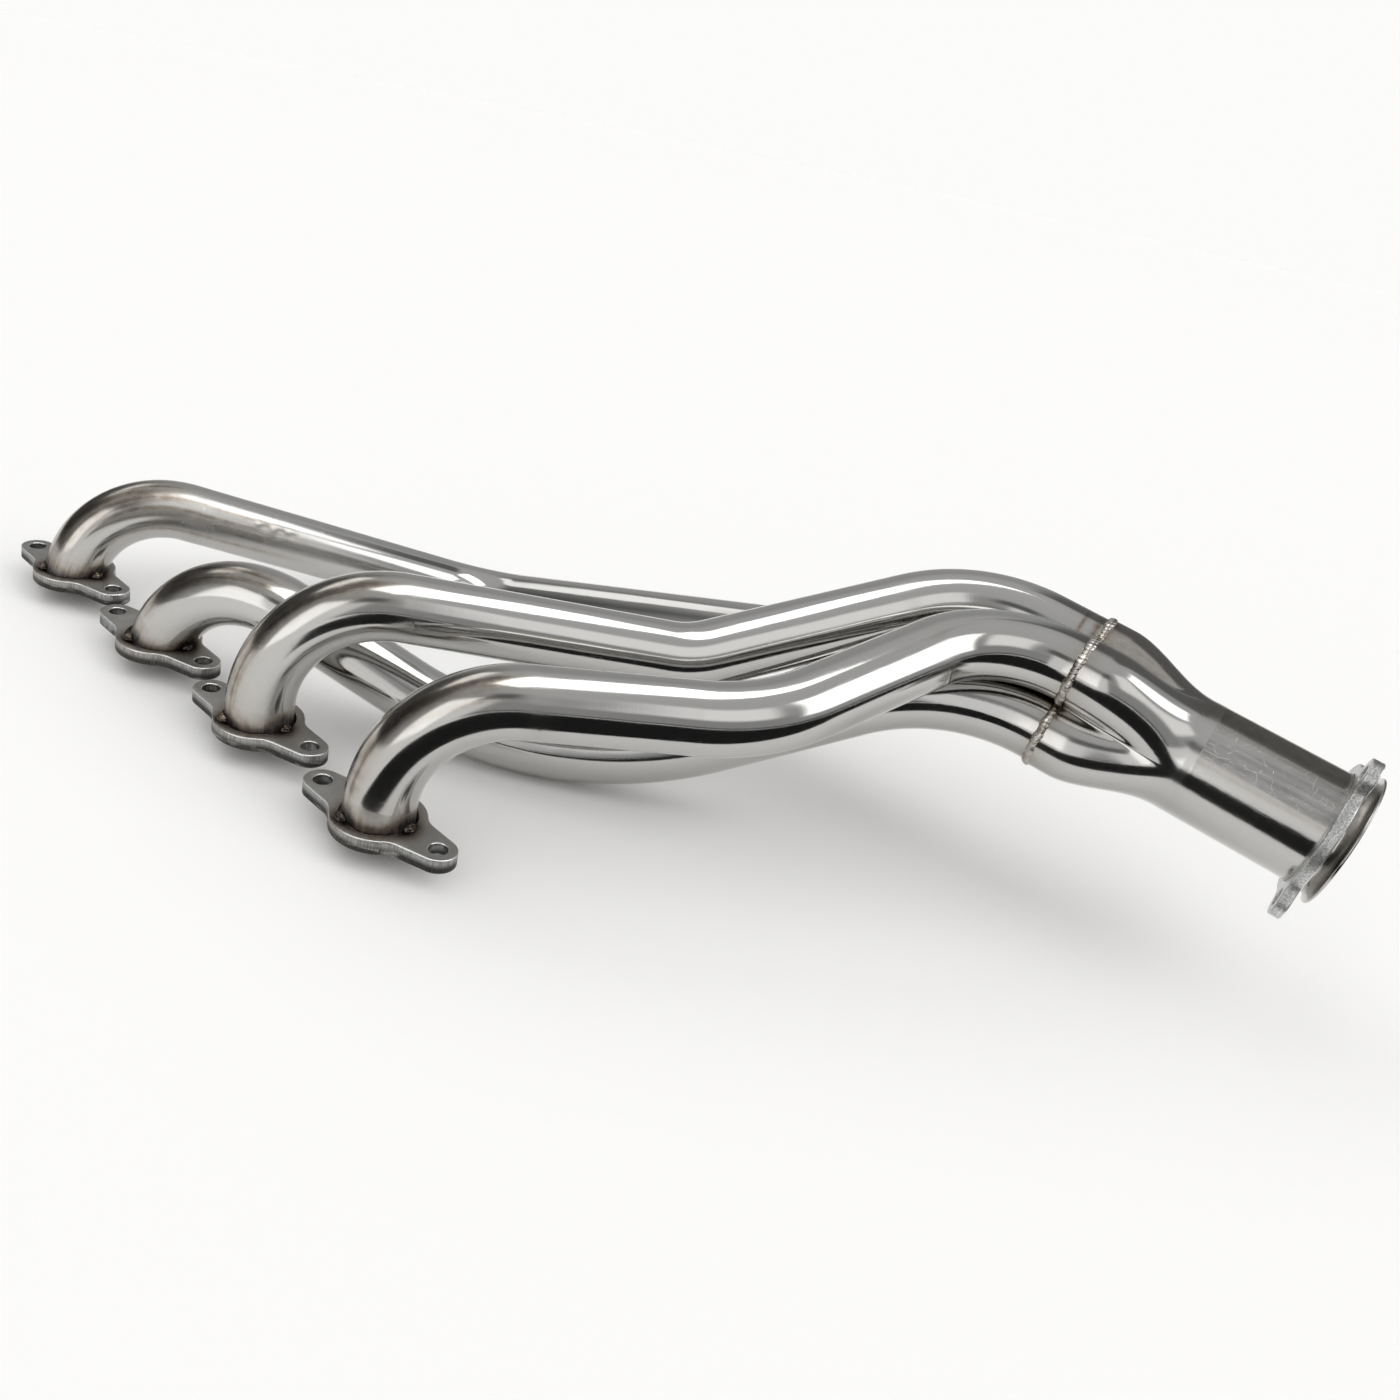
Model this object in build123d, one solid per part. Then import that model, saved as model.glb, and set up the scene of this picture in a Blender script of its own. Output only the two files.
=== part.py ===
"""Four-into-one tubular exhaust manifold with a loose three-bolt outlet flange.

Frame: the port faces lie on Z = 0 and the tubes leave them upwards (+Z). The port row
runs along +X from the first port, whose centre is the origin. Millimetres throughout.
"""
from build123d import *
import math
import os

os.makedirs("parts", exist_ok=True)

# ---------------------------------------------------------------- port flanges
PORT_PITCH = 111.76
FLANGE_THICK = 8.0
FLANGE_BODY_R = 25.3
EAR_R = 10.2
EAR_ROOT_R = 17.3
EAR_FILLET = 14.0
BOLT_X = 40.25
BOLT_Y = 6.45
BOLT_HOLE_D = 10.0
PORT_HOLE_R = 20.1
PLATE_BREAK = 0.5

# ---------------------------------------------------------------- primary tubes
TUBE_OD = 38.1
TUBE_WALL = 1.6
TUBE_RECESS = 1.5
FOOT_CLEARANCE = 0.5
SEAM_WIDTH = 2.4
SEAM_PROUD = 0.12
SEAL_HEIGHT = 2.5
TACK_ANGLES = (-106.0, 12.0, 132.0)
TACK_R = 3.4

# Height of the elbow corner, second corner point, distance of the last corner before
# the collector mouth, the three bend radii, and which collector lobe the tube enters.
PRIMARIES = (
    dict(rise=68.2, mid=(140.8, 239.9, 2.8), back=50.0, radii=(57.0, 62.0, 90.0), lobe=(1, -1)),
    dict(rise=77.6, mid=(335.2, 125.2, -12.9), back=57.2, radii=(63.0, 222.0, 126.0), lobe=(-1, -1)),
    dict(rise=89.4, mid=(383.9, 166.7, 82.5), back=72.1, radii=(72.0, 62.0, 89.0), lobe=(1, 1)),
    dict(rise=79.8, mid=(465.1, 126.0, 93.3), back=49.1, radii=(72.0, 106.0, 69.0), lobe=(-1, 1)),
)

# ---------------------------------------------------------------- collector
MOUTH = Vector(545.4, 298.1, 108.9)
AXIS_YAW = 10.8
AXIS_PITCH = -8.3
LOBE_OFFSET = 19.45
LOBE_GAP = 0.1
SHELL_WALL = 1.6
SHELL_LENGTH = 71.0
SHELL_STRAIGHT = 12.0
SHELL_STATIONS = (0.0, 12.0, 21.0, 30.0, 39.0, 48.0, 57.0, 66.0, 71.0)
VALLEY_SOFTNESS = 0.09
TUBE_INSERT = 9.0
BEAD_R = 1.7
BEAD_HALF_ARC = 110.0
SPIKE_HALF = 11.4
SPIKE_LENGTH = 58.0

# ---------------------------------------------------------------- outlet neck and lip
NECK_OD = 63.5
NECK_SEAM = 2.0
LIP_STATION = 149.3
LIP_R = 36.4
FLARE_LENGTH = 5.7

# ---------------------------------------------------------------- loose outlet flange
RING_STATION = 137.4
RING_THICK = 6.0
RING_BOLT_R = 42.3
RING_EAR_R = 9.8
RING_BODY_R = 38.0
RING_FILLET = 12.0
RING_HOLE_D = 10.0
RING_CLEARANCE = 0.08
RING_TURN = 108.6
RING_BREAK = 0.5

TUBE_R = TUBE_OD / 2
BORE_R = TUBE_R - TUBE_WALL
NECK_R = NECK_OD / 2

# Collector frame: local z runs downstream, local x away from the ports, local y upwards.
yaw = math.radians(AXIS_YAW)
pitch = math.radians(AXIS_PITCH)
AXIS = Vector(math.cos(pitch) * math.cos(yaw), math.cos(pitch) * math.sin(yaw), math.sin(pitch))
UP = (Vector(0, 0, 1) - AXIS * AXIS.Z).normalized()
SIDE = UP.cross(AXIS)
COLLECTOR = Plane(origin=MOUTH, x_dir=SIDE, z_dir=AXIS).location


def save(name, shape):
    shape.label = name
    export_step(shape, f"parts/{name}.step")


# ---------------------------------------------------------------- primary tubes
def corner_points(port_x, primary):
    side, level = primary["lobe"]
    entry = MOUTH + SIDE * (side * LOBE_OFFSET) + UP * (level * LOBE_OFFSET)
    return (
        Vector(port_x, 0, -40),
        Vector(port_x, 0, primary["rise"]),
        Vector(*primary["mid"]),
        entry - AXIS * primary["back"],
        entry + AXIS * TUBE_INSERT,
    )


def bend(before, corner, after, radius):
    """Start, middle and end points of the arc that rounds one corner."""
    d_in = (corner - before).normalized()
    d_out = (after - corner).normalized()
    turn = math.acos(d_in.dot(d_out))
    reach = radius * math.tan(turn / 2)
    start = corner - d_in * reach
    end = corner + d_out * reach
    inward = (d_out - d_in).normalized()
    middle = corner + inward * (radius / math.cos(turn / 2) - radius)
    return start, middle, end


def swept(edges, *radii):
    path = Wire(edges)
    section = Circle(radii[0])
    if len(radii) > 1:
        section -= Circle(radii[1])
    place = Plane(origin=path @ 0, z_dir=path % 0)
    return sweep(place * section, path=path)


def seam_ring(centre, direction):
    place = Plane(origin=centre - direction * (SEAM_WIDTH / 2), z_dir=direction)
    profile = place * (Circle(TUBE_R + SEAM_PROUD) - Circle(BORE_R))
    return extrude(profile, amount=SEAM_WIDTH, dir=direction)


def elbow_edges(points, start_gap, radius):
    a, b, c = bend(points[0], points[1], points[2], radius)
    leg = (points[2] - points[1]).normalized()
    return [Line(points[0], a), ThreePointArc(a, b, c), Line(c, c + leg * start_gap)]


def below(height):
    return Pos(0, 0, height - 50) * Box(2000, 2000, 100)


def build_primary(number, port_x, primary):
    points = corner_points(port_x, primary)
    radii = primary["radii"]
    half_seam = SEAM_WIDTH / 2
    a1, b1, c1 = bend(points[0], points[1], points[2], radii[0])
    a2, b2, c2 = bend(points[1], points[2], points[3], radii[1])
    a3, b3, c3 = bend(points[2], points[3], points[4], radii[2])
    leg = (points[2] - points[1]).normalized()
    tail = (points[3] - points[2]).normalized()
    first_seam = c1 + leg * 6
    second_seam = a3 - tail * 3
    elbow = swept(elbow_edges(points, 6 - half_seam, radii[0]), TUBE_R, BORE_R)
    save(f"primary_{number}_elbow", elbow - below(TUBE_RECESS))
    middle = swept([
        Line(first_seam + leg * half_seam, a2),
        ThreePointArc(a2, b2, c2),
        Line(c2, second_seam - tail * half_seam),
    ], TUBE_R, BORE_R)
    save(f"primary_{number}_leg", middle)
    outlet = swept([
        Line(second_seam + tail * half_seam, a3),
        ThreePointArc(a3, b3, c3),
        Line(c3, points[4]),
    ], TUBE_R, BORE_R)
    save(f"primary_{number}_tail", outlet)
    save(f"primary_{number}_seam_a", seam_ring(first_seam, leg))
    save(f"primary_{number}_seam_b", seam_ring(second_seam, tail))


# ---------------------------------------------------------------- port flanges
def ear(sign):
    tip = Pos(sign * BOLT_X, sign * BOLT_Y) * Circle(EAR_R)
    root = Circle(EAR_ROOT_R)
    return make_hull(tip.edges() + root.edges())


def flange_plate(port_x, foot):
    outline = Circle(FLANGE_BODY_R) + ear(1) + ear(-1)
    waist = [v for v in outline.vertices() if abs(math.hypot(v.X, v.Y) - FLANGE_BODY_R) < 0.01]
    outline = fillet(waist, EAR_FILLET)
    plate = extrude(outline, amount=FLANGE_THICK)
    plate = chamfer(plate.faces().sort_by(Axis.Z)[-1].edges(), PLATE_BREAK)
    for sign in (1, -1):
        hole = extrude(Circle(BOLT_HOLE_D / 2), amount=FLANGE_THICK)
        plate -= Pos(sign * BOLT_X, sign * BOLT_Y) * hole
    return Pos(port_x, 0, 0) * plate - foot


def tack_group(port_x, lean, tube, plate):
    blobs = []
    for angle in TACK_ANGLES:
        out = Vector(math.cos(math.radians(angle)), math.sin(math.radians(angle)), 0)
        centre = Vector(port_x, 0, FLANGE_THICK + 0.5) + lean + out * (TUBE_R + 0.9)
        blob = Pos(*centre) * Sphere(TACK_R) - tube - plate - below(FLANGE_THICK - 1.5)
        blobs += blob.solids()
    return Compound(children=blobs)


def foot_lean(port_x, primary):
    """How far the tube centre has moved off the port centre at the top of the plate."""
    points = corner_points(port_x, primary)
    start = bend(points[0], points[1], points[2], primary["radii"][0])[0]
    climb = max(FLANGE_THICK - start.Z, 0)
    radius = primary["radii"][0]
    leg = points[2] - points[1]
    heading = Vector(leg.X, leg.Y, 0).normalized()
    return heading * (radius - math.sqrt(radius ** 2 - climb ** 2))


for number, primary in enumerate(PRIMARIES, start=1):
    port_x = (number - 1) * PORT_PITCH
    edges = elbow_edges(corner_points(port_x, primary), 4, primary["radii"][0])
    tube = swept(edges, TUBE_R)
    straight_hole = Pos(port_x, 0, 0) * Cylinder(PORT_HOLE_R, 4 * FLANGE_THICK)
    foot = straight_hole + swept(edges, TUBE_R + FOOT_CLEARANCE)
    plate = flange_plate(port_x, foot)
    seal_zone = Pos(port_x, 0, TUBE_RECESS + SEAL_HEIGHT / 2) * Box(80, 80, SEAL_HEIGHT)
    save(f"port_flange_{number}", plate)
    save(f"port_seal_weld_{number}", (foot & seal_zone) - tube)
    save(f"port_tacks_{number}", tack_group(port_x, foot_lean(port_x, primary), tube, plate))
    build_primary(number, port_x, primary)


# ---------------------------------------------------------------- collector shell
def four_lobes(angle, lobe_r):
    """Outline of four equal circles on the diagonals, as distance from the axis."""
    reach = LOBE_OFFSET * math.sqrt(2)
    eighth = math.pi / 4
    from_lobe = abs((angle % (2 * eighth)) - eighth)
    from_valley = math.sqrt((eighth - from_lobe) ** 2 + VALLEY_SOFTNESS ** 2)
    softened = max(eighth + VALLEY_SOFTNESS / 4 - from_valley, 0)
    across = reach * math.sin(softened)
    return reach * math.cos(softened) + math.sqrt(max(lobe_r ** 2 - across ** 2, 9.0))


def roundness(station):
    """0 where the lobes run straight, 1 where the shell has become a round tube."""
    run = (station - SHELL_STRAIGHT) / (SHELL_LENGTH - SHELL_STRAIGHT - 3)
    run = min(max(run, 0), 1)
    return run * run * (3 - 2 * run)


def shell_section(station, inset):
    lobe_r = TUBE_R + LOBE_GAP + SHELL_WALL - inset
    part = roundness(station)
    points = []
    for step in range(72):
        angle = 2 * math.pi * step / 72
        radius = four_lobes(angle, lobe_r) * (1 - part) + (NECK_R - inset) * part
        points.append((radius * math.cos(angle), radius * math.sin(angle)))
    outline = Spline(*points, periodic=True)
    return Pos(0, 0, station) * make_face(outline)


outer = loft([shell_section(s, 0) for s in SHELL_STATIONS])
inner = loft([shell_section(s, SHELL_WALL) for s in SHELL_STATIONS[1:]])
shell = outer - inner
shell -= extrude(Circle(LOBE_OFFSET + 1.5), amount=SHELL_STRAIGHT + 0.1)
for side in (1, -1):
    for level in (1, -1):
        entry = Pos(side * LOBE_OFFSET, level * LOBE_OFFSET)
        shell -= entry * extrude(Circle(TUBE_R + LOBE_GAP), amount=SHELL_STRAIGHT + 0.1)
save("collector_shell", COLLECTOR * shell)


def mouth_bead(side, level):
    """Weld bead round one tube, on the outside of the collector mouth only."""
    section = Plane.XZ * Pos(TUBE_R + 0.7, -0.5) * Circle(BEAD_R)
    ring = revolve(section, axis=Axis.Z, revolution_arc=2 * BEAD_HALF_ARC)
    facing = math.degrees(math.atan2(level, side))
    ring = Rot(0, 0, facing - BEAD_HALF_ARC) * ring
    ring = Pos(side * LOBE_OFFSET, level * LOBE_OFFSET) * ring
    tube = Pos(side * LOBE_OFFSET, level * LOBE_OFFSET) * Cylinder(TUBE_R, 20)
    return ring - tube - outer


for number, primary in enumerate(PRIMARIES, start=1):
    side, level = primary["lobe"]
    save(f"mouth_bead_{number}", COLLECTOR * mouth_bead(side, level))

# ---------------------------------------------------------------- merge spike
base = Rot(0, 0, 45) * Rectangle(SPIKE_HALF * math.sqrt(2), SPIKE_HALF * math.sqrt(2))
tip = Pos(0, 0, SPIKE_LENGTH) * Rot(0, 0, 45) * Rectangle(1, 1)
save("merge_spike", COLLECTOR * loft([base, tip]))

# ---------------------------------------------------------------- outlet neck, seam, lip
seam = Pos(0, 0, SHELL_LENGTH) * extrude(
    Circle(NECK_R + SEAM_PROUD) - Circle(NECK_R - SHELL_WALL), amount=NECK_SEAM
)
save("neck_seam", COLLECTOR * seam)

flare_start = LIP_STATION - FLARE_LENGTH
neck_start = SHELL_LENGTH + NECK_SEAM
neck_ring = Circle(NECK_R) - Circle(NECK_R - SHELL_WALL)
neck = Pos(0, 0, neck_start) * extrude(neck_ring, amount=flare_start - neck_start)
save("outlet_neck", COLLECTOR * neck)

flare_rise = LIP_R - NECK_R
flare_turn = 2 * math.atan(flare_rise / FLARE_LENGTH)
flare_r = FLARE_LENGTH / math.sin(flare_turn)


def flare_point(radius, turn):
    return (NECK_R + flare_r - radius * math.cos(turn), flare_start + radius * math.sin(turn))


inside_r = flare_r + SHELL_WALL
lip_profile = Wire([
    ThreePointArc(flare_point(flare_r, 0), flare_point(flare_r, flare_turn / 2), flare_point(flare_r, flare_turn)),
    Line(flare_point(flare_r, flare_turn), flare_point(inside_r, flare_turn)),
    ThreePointArc(
        flare_point(inside_r, flare_turn), flare_point(inside_r, flare_turn / 2), flare_point(inside_r, 0)
    ),
    Line(flare_point(inside_r, 0), flare_point(flare_r, 0)),
])
lip = revolve(Plane.XZ * make_face(lip_profile), axis=Axis.Z)
save("outlet_lip", COLLECTOR * lip)

# ---------------------------------------------------------------- loose outlet flange
ears = [PolarLocations(RING_BOLT_R, 3).locations[k] for k in range(3)]
ring = Circle(RING_BODY_R)
for place in ears:
    ring += make_hull((place * Circle(RING_EAR_R)).edges() + Circle(RING_EAR_R * 1.7).edges())
waist = [v for v in ring.vertices() if abs(math.hypot(v.X, v.Y) - RING_BODY_R) < 0.01]
ring = fillet(waist, RING_FILLET)
ring = extrude(ring, amount=RING_THICK)
ring = chamfer(ring.faces().sort_by(Axis.Z)[-1].edges(), RING_BREAK)
ring -= extrude(Circle(NECK_R + RING_CLEARANCE), amount=RING_THICK)
for place in ears:
    ring -= place * extrude(Circle(RING_HOLE_D / 2), amount=RING_THICK)
ring = Pos(0, 0, RING_STATION) * Rot(0, 0, RING_TURN) * ring
save("collector_flange", COLLECTOR * ring)
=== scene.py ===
"""Looks of the four-into-one exhaust manifold, built round its CAD frame.

Shapes are worked out in millimetres in the CAD frame and turned to metres when a mesh is made.
"""

from math import acos, asin, atan, atan2, ceil, cos, degrees, floor, hypot, pi, radians, sin, sqrt, tan

import bpy
import numpy as np
from mathutils import Matrix, Vector, geometry, noise


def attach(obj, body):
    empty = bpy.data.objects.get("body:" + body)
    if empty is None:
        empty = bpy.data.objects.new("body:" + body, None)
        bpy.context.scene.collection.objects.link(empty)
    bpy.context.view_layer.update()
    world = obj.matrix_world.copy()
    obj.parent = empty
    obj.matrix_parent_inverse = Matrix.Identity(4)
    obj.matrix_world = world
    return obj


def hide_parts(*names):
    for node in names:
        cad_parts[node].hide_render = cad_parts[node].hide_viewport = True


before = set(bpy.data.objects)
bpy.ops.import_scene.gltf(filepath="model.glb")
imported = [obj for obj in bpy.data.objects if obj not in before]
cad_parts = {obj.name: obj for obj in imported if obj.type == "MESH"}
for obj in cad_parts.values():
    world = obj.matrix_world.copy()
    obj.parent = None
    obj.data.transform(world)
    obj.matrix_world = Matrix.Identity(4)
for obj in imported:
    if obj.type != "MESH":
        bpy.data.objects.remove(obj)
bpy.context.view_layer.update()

MM = 0.001
AROUND = 96

# ---- sizes, as in the CAD
PORT_PITCH = 111.76
FLANGE_THICK = 8.0
PORT_HOLE_R = 20.1
BOLT_X = 40.25
BOLT_Y = 6.45
BOLT_REACH = hypot(BOLT_X, BOLT_Y)
BOLT_HEADING = degrees(atan2(BOLT_Y, BOLT_X))
FLANGE_BODY_R = 25.3
EAR_R = 10.2
EAR_ROOT_R = 17.3
EAR_FILLET = 14.0
BOLT_HOLE_R = 5.0
TUBE_R = 19.05
TUBE_WALL = 1.6
TUBE_RECESS = 1.5
SEAM_WIDTH = 2.4
# Darker streaks down the outside of each elbow: angle round the tube, width, depth of tint
OUTER_STREAKS = ((202, 3.5, 0.5), (211, 5, 0.35), (221, 3.0, 0.45), (235, 4.5, 0.22), (186, 6, 0.3))
LEG_STREAKS = ((228, 5, 0.34), (243, 4, 0.44), (259, 6, 0.25), (287, 5, 0.34))
SEAM_FACING = (-120.0, -90.0, -60.0, -55.0)
TACK_ANGLES = (-106.0, 12.0, 132.0)
PRIMARIES = (
    dict(rise=68.2, mid=(140.8, 239.9, 2.8), back=50.0, radii=(57.0, 62.0, 90.0), lobe=(1, -1)),
    dict(rise=77.6, mid=(335.2, 125.2, -12.9), back=57.2, radii=(63.0, 222.0, 126.0), lobe=(-1, -1)),
    dict(rise=89.4, mid=(383.9, 166.7, 82.5), back=72.1, radii=(72.0, 62.0, 89.0), lobe=(1, 1)),
    dict(rise=79.8, mid=(465.1, 126.0, 93.3), back=49.1, radii=(72.0, 106.0, 69.0), lobe=(-1, 1)),
)
MOUTH = np.array((545.4, 298.1, 108.9))
AXIS_YAW = 10.8
AXIS_PITCH = -8.3
LOBE_OFFSET = 19.45
SHELL_R = 20.75
SHELL_LENGTH = 71.0
SHELL_STRAIGHT = 12.0
VALLEY_R = 24.5
VALLEY_END = 67.0
VALLEY_SOFTNESS = 0.03
TUBE_INSERT = 9.0
NECK_R = 31.75
NECK_START = 73.0
LIP_STATION = 149.3
LIP_R = 36.4
FLARE_LENGTH = 5.7
SPIKE_HALF = 11.4
SPIKE_LENGTH = 58.0
RING_STATION = 137.4
RING_THICK = 6.0
RING_TURN = 108.6
RING_BODY_R = 38.0
RING_BOLT_R = 42.3
RING_EAR_R = 9.8
RING_FILLET = 12.0
RING_CLEARANCE = 0.08

yaw = radians(AXIS_YAW)
pitch = radians(AXIS_PITCH)
AXIS = np.array((cos(pitch) * cos(yaw), cos(pitch) * sin(yaw), sin(pitch)))
UP = np.array((0.0, 0.0, 1.0)) - AXIS * AXIS[2]
UP /= np.linalg.norm(UP)
SIDE = np.cross(UP, AXIS)


def unit(v):
    return v / np.linalg.norm(v)


def in_collector(local):
    """Collector coordinates (away from ports, up, downstream) to the CAD frame."""
    local = np.asarray(local, dtype=float)
    return MOUTH + local[..., :1] * SIDE + local[..., 1:2] * UP + local[..., 2:3] * AXIS


def smooth(edge0, edge1, x):
    run = np.clip((np.asarray(x, dtype=float) - edge0) / (edge1 - edge0), 0, 1)
    return run * run * (3 - 2 * run)


def polar(turn):
    """Unit vector in the plane of a plate or port face."""
    return np.array((cos(turn), sin(turn)))


def full_turn(count):
    return np.linspace(0, 2 * pi, count, endpoint=False)


def level_ring(spins):
    """Unit vectors pointing outwards all round the Z axis."""
    return np.column_stack([np.cos(spins), np.sin(spins), np.zeros(len(spins))])


def turn_gap(spin, centre):
    """Signed angle from centre to spin, both in radians, between -pi and pi."""
    return np.angle(np.exp(1j * (spin - centre)))


def bell(x, width, power=2):
    """1 at x = 0, falling to 1/e at the width; a higher power gives flatter tops."""
    return np.exp(-(x / width) ** power)


def around(radius, spins, station):
    """Points at a radius round the collector axis, in collector coordinates."""
    return np.column_stack([radius * np.cos(spins), radius * np.sin(spins), np.full(len(spins), station)])


# ---- meshes
def place_object(name, data):
    thing = bpy.data.objects.new(name, data)
    bpy.context.scene.collection.objects.link(thing)
    return thing


def make_piece(name, points, faces, material, crease=38.0, layers=None):
    mesh = bpy.data.meshes.new(name)
    mesh.from_pydata((np.asarray(points).reshape(-1, 3) * MM).tolist(), [], faces)
    for key, values in (layers or {}).items():
        kind, field = ("FLOAT_VECTOR", "vector") if key in ("straight", "rim") else ("FLOAT", "value")
        mesh.attributes.new(key, kind, "POINT").data.foreach_set(field, np.ravel(values))
    mesh.shade_smooth()
    mesh.set_sharp_from_angle(angle=radians(crease))
    mesh.materials.append(material)
    return place_object(name, mesh)


def grid_faces(rows, columns, wrap_rows=False, first=0):
    faces = []
    for i in range(rows if wrap_rows else rows - 1):
        near = first + i * columns
        far = first + (i + 1) % rows * columns
        for j in range(columns):
            n = (j + 1) % columns
            faces.append((near + j, near + n, far + n, far + j))
    return faces


def dress(piece, body, slot, *nodes):
    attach(piece, body)
    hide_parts(*nodes)
    return piece


# ---- material nodes
def add(tree, kind, inputs=None, **settings):
    node = tree.nodes.new(kind)
    for key, value in settings.items():
        setattr(node, key, value)
    for key, value in (inputs or {}).items():
        if isinstance(value, bpy.types.NodeSocket):
            tree.links.new(value, node.inputs[key])
        else:
            node.inputs[key].default_value = value
    return node


def maths(tree, operation, a, b=0.0, clamp=False):
    return add(tree, "ShaderNodeMath", {0: a, 1: b}, operation=operation, use_clamp=clamp).outputs[0]


def drive(shader, name, value):
    shader.id_data.links.new(value, shader.inputs[name])


def mul(tree, a, b, clamp=False):
    return maths(tree, "MULTIPLY", a, b, clamp)


def plus(tree, a, b, clamp=False):
    return maths(tree, "ADD", a, b, clamp)


def stretch(tree, vector, scale):
    return add(tree, "ShaderNodeMapping", {"Vector": vector, "Scale": scale}).outputs[0]


def times_plus(tree, value, factor, offset):
    inputs = {0: value, 1: factor, 2: offset}
    return add(tree, "ShaderNodeMath", inputs, operation="MULTIPLY_ADD").outputs[0]


def attribute(tree, name, output="Fac"):
    return add(tree, "ShaderNodeAttribute", attribute_name=name).outputs[output]


def cell_edges(tree, vector):
    """Distance to the nearest border between irregular cells."""
    inputs = {"Vector": vector, "Scale": 1.0}
    return add(tree, "ShaderNodeTexVoronoi", inputs, feature="DISTANCE_TO_EDGE").outputs["Distance"]


def speckle(tree, vector, scale, detail=3.0, roughness=0.5):
    inputs = {"Vector": vector, "Scale": scale, "Detail": detail, "Roughness": roughness}
    return add(tree, "ShaderNodeTexNoise", inputs).outputs[0]


def ramp(tree, value, stops):
    node = add(tree, "ShaderNodeValToRGB", {"Fac": value})
    elements = node.color_ramp.elements
    while len(elements) > 1:
        elements.remove(elements[-1])
    for index, (place, colour) in enumerate(stops):
        element = elements[0] if index == 0 else elements.new(place)
        element.position = place
        if not hasattr(colour, "__len__"):
            colour = (colour, colour, colour)
        element.color = (*colour, 1.0)
    return node.outputs[0]


def blend_colour(tree, factor, a, b):
    node = add(tree, "ShaderNodeMix", data_type="RGBA", blend_type="MIX")
    for socket, value in ((node.inputs[0], factor), (node.inputs[6], a), (node.inputs[7], b)):
        if isinstance(value, bpy.types.NodeSocket):
            tree.links.new(value, socket)
        elif hasattr(value, "__len__"):
            socket.default_value = (*value, 1.0)
        else:
            socket.default_value = value
    return node.outputs[2]


def new_material(name):
    material = bpy.data.materials.new(name)
    material.use_nodes = True
    tree = material.node_tree
    shader = tree.nodes["Principled BSDF"]
    shader.inputs["Metallic"].default_value = 1.0
    return material, tree, shader


# Heat tint colours from bright steel to near black; the same ramp also colours the painted shade that the
# collector shell and neck masks add to the tint level.
TINT_AND_SHADE_STOPS = (
    (0.0, (0.55, 0.545, 0.53)),
    (0.22, (0.46, 0.435, 0.40)),
    (0.42, (0.31, 0.275, 0.235)),
    (0.60, (0.18, 0.145, 0.11)),
    (0.74, (0.15, 0.135, 0.15)),
    (0.86, (0.08, 0.065, 0.05)),
    (1.0, (0.02, 0.018, 0.016)),
)


def stain_and_shade_colour(tree, place):
    # The level read here is heat tint, plus painted shade on the collector shell and neck.
    tint_level = attribute(tree, "stain_and_shade")
    patchy = speckle(tree, place, 0.16, 4.0, 0.6)
    streaks = speckle(tree, stretch(tree, place, (0.42, 0.42, 0.012)), 1.0, 4.0, 0.65)
    patchy = mul(tree, patchy, ramp(tree, streaks, ((0.35, 0.75), (0.65, 1.25))))
    patchy = times_plus(tree, patchy, 1.4, 0.25)
    return ramp(tree, mul(tree, tint_level, patchy, clamp=True), TINT_AND_SHADE_STOPS), tint_level


def bumped(tree, shader, layers):
    """Chains bump layers of (height socket, height in millimetres, strength)."""
    normal = None
    for height, distance, strength in layers:
        inputs = {"Height": height, "Distance": distance * MM, "Strength": strength}
        if normal is not None:
            inputs["Normal"] = normal
        normal = add(tree, "ShaderNodeBump", inputs).outputs[0]
    drive(shader, "Normal", normal)


def polished_steel(name, roughness, scuffs):
    """Mirror-polished tube: faint waviness, fine rings from the polishing belt, hairlines. Heat tint, and
    painted shade where the collector shell's masks put it.
    """
    material, tree, shader = new_material(name)
    straight = attribute(tree, "straight", "Vector")
    colour, tint_level = stain_and_shade_colour(tree, straight)
    clouds = speckle(tree, straight, 0.05, 4.0, 0.55)
    colour = blend_colour(tree, mul(tree, clouds, 0.22), colour, (0.43, 0.425, 0.41))
    drive(shader, "Base Color", colour)
    rings = speckle(tree, stretch(tree, straight, (0.03, 0.03, 2.6)), 1.0, 3.0, 0.6)
    lengthwise = speckle(tree, stretch(tree, straight, (1.1, 1.1, 0.02)), 1.0, 3.0, 0.6)
    waves = speckle(tree, stretch(tree, straight, (0.05, 0.05, 0.03)), 1.0, 1.0, 0.4)
    scuff = attribute(tree, "scuff")
    cells = cell_edges(tree, stretch(tree, straight, (0.16, 0.16, 0.05)))
    hairline = ramp(tree, cells, ((0.0, 1.0), (0.012, 0.0)))
    patches = ramp(tree, speckle(tree, straight, 0.035, 2.0), ((0.5, 0.0), (0.62, 1.0)))
    hairline = mul(tree, hairline, mul(tree, patches, scuffs))
    spread = times_plus(tree, clouds, 0.10, roughness - 0.05)
    spread = plus(tree, spread, mul(tree, scuff, 0.26))
    spread = plus(tree, spread, mul(tree, tint_level, 0.14))
    spread = plus(tree, spread, mul(tree, hairline, 0.2), clamp=True)
    drive(shader, "Roughness", spread)
    bumped(tree, shader, (
        (waves, 0.35, 0.5),
        (rings, 0.012, 0.6),
        (lengthwise, 0.010, 0.5),
        (hairline, 0.02, 0.5),
    ))
    return material


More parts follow.
